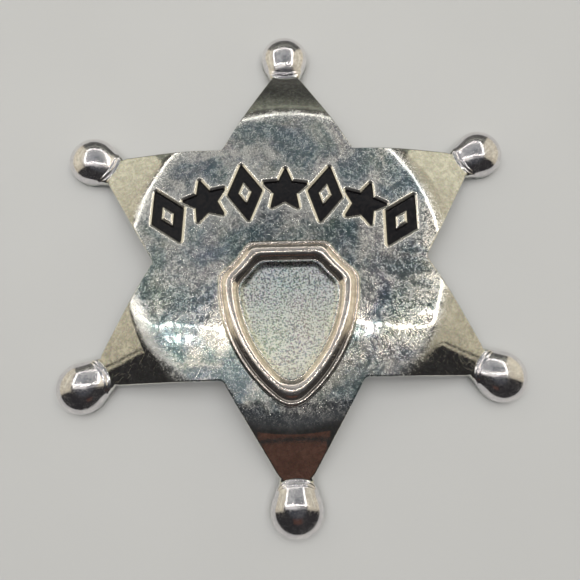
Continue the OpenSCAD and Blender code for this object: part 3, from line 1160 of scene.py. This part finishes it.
def plate_unevenness(nodes, masks):
    """Fine waviness, sandy grains in the field, and sunk scratches."""
    fine = nodes.times(masks.worn, nodes.mix_values(masks.arms, 0.3, 0.4))
    sand, _ = nodes.noise(masks.where, 3.2, 1.0, 0.6)
    sandy = nodes.times(sand, nodes.times(masks.field, 6.0))
    return nodes.plus(nodes.plus(fine, nodes.times(masks.marks, -0.7)), sandy)


def plate_metal():
    made, nodes, shader, where = material("worn_nickel")
    masks = PlateMasks(nodes, where)
    color, rough = plate_color(nodes, masks), plate_roughness(nodes, masks)
    nodes.put_all(shader, {"Base Color": color, "Metallic": 1.0, "Roughness": rough})
    add_bump(nodes, shader, plate_unevenness(nodes, masks), PLATE_BUMP)
    return made


def black_enamel():
    made, nodes, shader, where = material("glossy_enamel")
    mottle, _ = nodes.noise(where, 2.2, 3.0, 0.6)
    black, brownish = (0.002, 0.002, 0.003, 1.0), (0.010, 0.008, 0.008, 1.0)
    color = nodes.mix(nodes.step(mottle, 0.35, 0.7), black, brownish)
    rough = nodes.step(mottle, 0.3, 0.7, 0.06, 0.16)
    nodes.put_all(shader, {"Base Color": color, "Roughness": rough, "Specular IOR Level": 0.4})
    nodes.put_all(shader, {"Coat Weight": 0.15, "Coat Roughness": 0.08})
    ripple, _ = nodes.noise(where, 1.6, 2.0, 0.5)
    add_bump(nodes, shader, ripple, ENAMEL_BUMP)
    return made


def pin_steel():
    made, nodes, shader, where = material("plain_pin_steel")
    streaks, _ = nodes.noise(nodes.stretched(where, 0, 0.25, 5.0), 1.0, 4.0, 0.6)
    clouds, _ = nodes.noise(where, 0.5, 3.0, 0.6)
    dull, pale, stain = (0.50, 0.49, 0.46, 1.0), (0.70, 0.69, 0.66, 1.0), (0.42, 0.38, 0.33, 1.0)
    color = nodes.mix(nodes.step(streaks, 0.3, 0.7), dull, pale)
    color = nodes.mix(nodes.step(clouds, 0.55, 0.8), color, stain)
    rough = nodes.step(streaks, 0.25, 0.75, 0.22, 0.42)
    nodes.put_all(shader, {"Base Color": color, "Metallic": 1.0, "Roughness": rough})
    add_bump(nodes, shader, streaks, STEEL_BUMP)
    return made


def floor_paint():
    made, nodes, shader, where = material("pale_floor")
    soft, _ = nodes.noise(where, 0.03, 2.0, 0.5)
    color = nodes.mix(soft, (0.49, 0.49, 0.48, 1.0), (0.53, 0.53, 0.52, 1.0))
    nodes.put_all(shader, {"Base Color": color, "Roughness": 0.85, "Specular IOR Level": 0.1})
    return made


# Camera, at the photograph's place over the badge, in millimetres and radians
CAMERA_PLACE = Vector((-1.68, -20.21, 78.81))
CAMERA_TARGET = Vector((-0.134, -3.609, 0.6))
CAMERA_ROLL = -0.0285
CAMERA_LENS = 33.45


def add_camera():
    data = bpy.data.cameras.new("camera")
    data.lens = CAMERA_LENS
    data.sensor_width = 36.0
    data.clip_start = 0.001
    data.clip_end = 10.0
    forward = (CAMERA_TARGET - CAMERA_PLACE).normalized()
    right = forward.cross(Vector((0, 1, 0))).normalized()
    up = right.cross(forward)
    c, s = math.cos(CAMERA_ROLL), math.sin(CAMERA_ROLL)
    axes = (right * c + up * s, up * c - right * s, -forward)
    camera = bpy.data.objects.new("camera", data)
    turn = Matrix(axes).transposed().to_4x4()
    camera.matrix_world = Matrix.Translation(CAMERA_PLACE * MM) @ turn
    bpy.context.scene.collection.objects.link(camera)
    bpy.context.scene.camera = camera


# Light: a square frame of lamps far overhead, with small bright spots along its near side
WHITE = (1.0, 0.97, 0.93)
COOL = (0.95, 0.98, 1.0)
CREAM = (1.0, 0.91, 0.70)
BROWN = (1.0, 0.30, 0.12)
LAMP_Z = 285.0
LAMP_X = (-236.0, 160.0)
LAMP_Y = (16.0, 350.0)
LED_SIZE = 4.0
LED_GAP = 10.5
LED_RADIANCE = 31.0
STRIP_WIDTH = 18.0
STRIP_RADIANCE = 5.5
CEILING_X = -50.0
CEILING_Y = 130.0
HAZE_Y = (-42.0, 12.0)
WALL_FAR_Y = 500.0
WALL_EDGE_GAP = 5.0
WALL_EDGE_W = 7.0
WALL_RADIANCE = 0.54
CARD_X = 1.0
CARD_Z = 66.0
CARD_RADIANCE = 0.062
FILL_Z = 420.0
FILL_SIZE = 500.0
FILL_RADIANCE = 2.2


def around(middle, width):
    return (middle - width / 2, middle + width / 2)


# The other three sides of the square, the parts of the ceiling between them, and a faint glow on
# the near side of the spots. Each row is the name, the ranges in x and y, radiance and colour.
CEILING = (
    ("strip_left", around(LAMP_X[0], STRIP_WIDTH), LAMP_Y, STRIP_RADIANCE, WHITE),
    ("strip_right", around(LAMP_X[1], STRIP_WIDTH), LAMP_Y, STRIP_RADIANCE, WHITE),
    ("strip_far", LAMP_X, around(LAMP_Y[1], STRIP_WIDTH), STRIP_RADIANCE, WHITE),
    ("ceiling_left", (LAMP_X[0], CEILING_X), (LAMP_Y[0], CEILING_Y), 0.30, COOL),
    ("ceiling_right", (CEILING_X, LAMP_X[1]), (LAMP_Y[0], CEILING_Y), 0.17, COOL),
    ("ceiling_far", LAMP_X, (CEILING_Y, LAMP_Y[1]), 0.29, COOL),
    ("haze_left", (LAMP_X[0], 0.0), HAZE_Y, 0.75, WHITE),
    ("haze_right", (0.0, LAMP_X[1]), HAZE_Y, 0.28, WHITE),
)
# Side walls: name, x, near end in y, and top
WALLS = (
    ("left", -390.0, -96.0, 400.0),
    ("right", 390.0, -91.0, 620.0),
)
# Two small cards low in front of the badge: name, middle in y, width and depth
CARDS = (
    ("card_near", -73.0, 38.0, 4.0),
    ("card_far", -88.8, 34.0, 24.6),
)


def area_light(name, place, size_x, size_y, radiance, color, aim=None):
    """A flat soft light that looks at aim, or straight down."""
    data = bpy.data.lights.new(name, "AREA")
    data.shape = "RECTANGLE"
    data.size = size_x * MM
    data.size_y = size_y * MM
    data.energy = radiance * math.pi * size_x * size_y * MM * MM
    data.color = color
    lamp = bpy.data.objects.new(name, data)
    lamp.location = Vector(place) * MM
    if aim is not None:
        lamp.rotation_euler = (Vector(aim) - Vector(place)).to_track_quat("-Z", "Y").to_euler()
    lamp.visible_camera = False
    bpy.context.scene.collection.objects.link(lamp)
    return lamp


def ceiling_light(name, x_range, y_range, radiance, color):
    """A light at the ceiling's height that looks straight down."""
    place = (sum(x_range) / 2, sum(y_range) / 2, LAMP_Z)
    area_light(name, place, x_range[1] - x_range[0], y_range[1] - y_range[0], radiance, color)


def add_ceiling():
    """The bright spots, and all other light at the ceiling's height."""
    wide = LAMP_X[1] - LAMP_X[0]
    steps = round(wide / LED_GAP)
    for j in range(steps + 1):
        spot_x = around(LAMP_X[0] + wide * j / steps, LED_SIZE)
        ceiling_light(f"led_{j}", spot_x, around(LAMP_Y[0], LED_SIZE), LED_RADIANCE, WHITE)
    for row in CEILING:
        ceiling_light(*row)


def add_walls():
    """A soft cream wall on each side, and a narrow strip of the same light before its near end."""
    for side, x, near, top in WALLS:
        edge = near - WALL_EDGE_GAP
        for part, low, high in (("wall", near, WALL_FAR_Y), ("edge", edge - WALL_EDGE_W, edge)):
            place = (x, (low + high) / 2, top / 2)
            aim = (0.0, *place[1:])
            area_light(f"{part}_{side}", place, high - low, top, WALL_RADIANCE, CREAM, aim)


def add_cards():
    for name, y, wide, deep in CARDS:
        area_light(name, (CARD_X, y, CARD_Z), wide, deep, CARD_RADIANCE, BROWN)


def add_floor_fill():
    """Light for the floor and the shadows that doesn't show in the metal."""
    place = (0.0, 0.0, FILL_Z)
    fill = area_light("floor_fill", place, FILL_SIZE, FILL_SIZE, FILL_RADIANCE, (1.0, 1.0, 1.0))
    fill.visible_glossy = False


def add_world():
    """The room round the lamps: dark in front, and behind grey with a dim and a pale band."""
    world = bpy.data.worlds.new("room")
    bpy.context.scene.world = world
    world.use_nodes = True
    nodes = Nodes(world.node_tree)
    direction = nodes.add("ShaderNodeTexCoord")
    _, y, z = nodes.add("ShaderNodeSeparateXYZ", direction).node.outputs
    level = nodes.math("SQRT", nodes.math("SUBTRACT", 1.0001, nodes.times(z, z)))
    behind = nodes.math("DIVIDE", y, level)
    overhead = (0.066, 0.070, 0.078, 1.0)
    dark = (0.034, 0.033, 0.034, 1.0)
    grey = (0.105, 0.104, 0.098, 1.0)
    dim = (0.065, 0.065, 0.062, 1.0)
    pale = (0.27, 0.28, 0.24, 1.0)
    far = nodes.mix(nodes.step(z, 0.355, 0.370), grey, dim)
    far = nodes.mix(nodes.step(z, 0.375, 0.400), far, pale)
    far = nodes.mix(nodes.step(z, 0.45, 0.52), far, grey)
    low = nodes.mix(nodes.step(behind, -0.15, 0.1), dark, far)
    color = nodes.mix(nodes.step(z, 0.80, 0.95), low, overhead)
    nodes.add("ShaderNodeOutputWorld", nodes.add("ShaderNodeBackground", color, 1.0))


def add_floor(half=600.0):
    corners = [(-half, -half, 0.0), (half, -half, 0.0), (half, half, 0.0), (-half, half, 0.0)]
    floor = mesh_object("floor", corners, [(0, 1, 2, 3)])
    floor.data.materials.append(floor_paint())


bpy.context.scene.view_settings.view_transform = "Standard"
add_camera()
add_floor()
add_ceiling()
add_walls()
add_cards()
add_floor_fill()
add_world()

plate = star_plate_piece()
plate.data.materials.append(plate_metal())
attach(plate, "root")
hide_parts("star_plate")

enamel = black_enamel()
for motif in range(MOTIFS):
    fill = enamel_piece(motif)
    fill.data.materials.append(enamel)
    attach(fill, "root")
    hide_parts(f"enamel_{motif + 1}")

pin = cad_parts["pin_back"]
pin.data.materials.clear()
pin.data.materials.append(pin_steel())
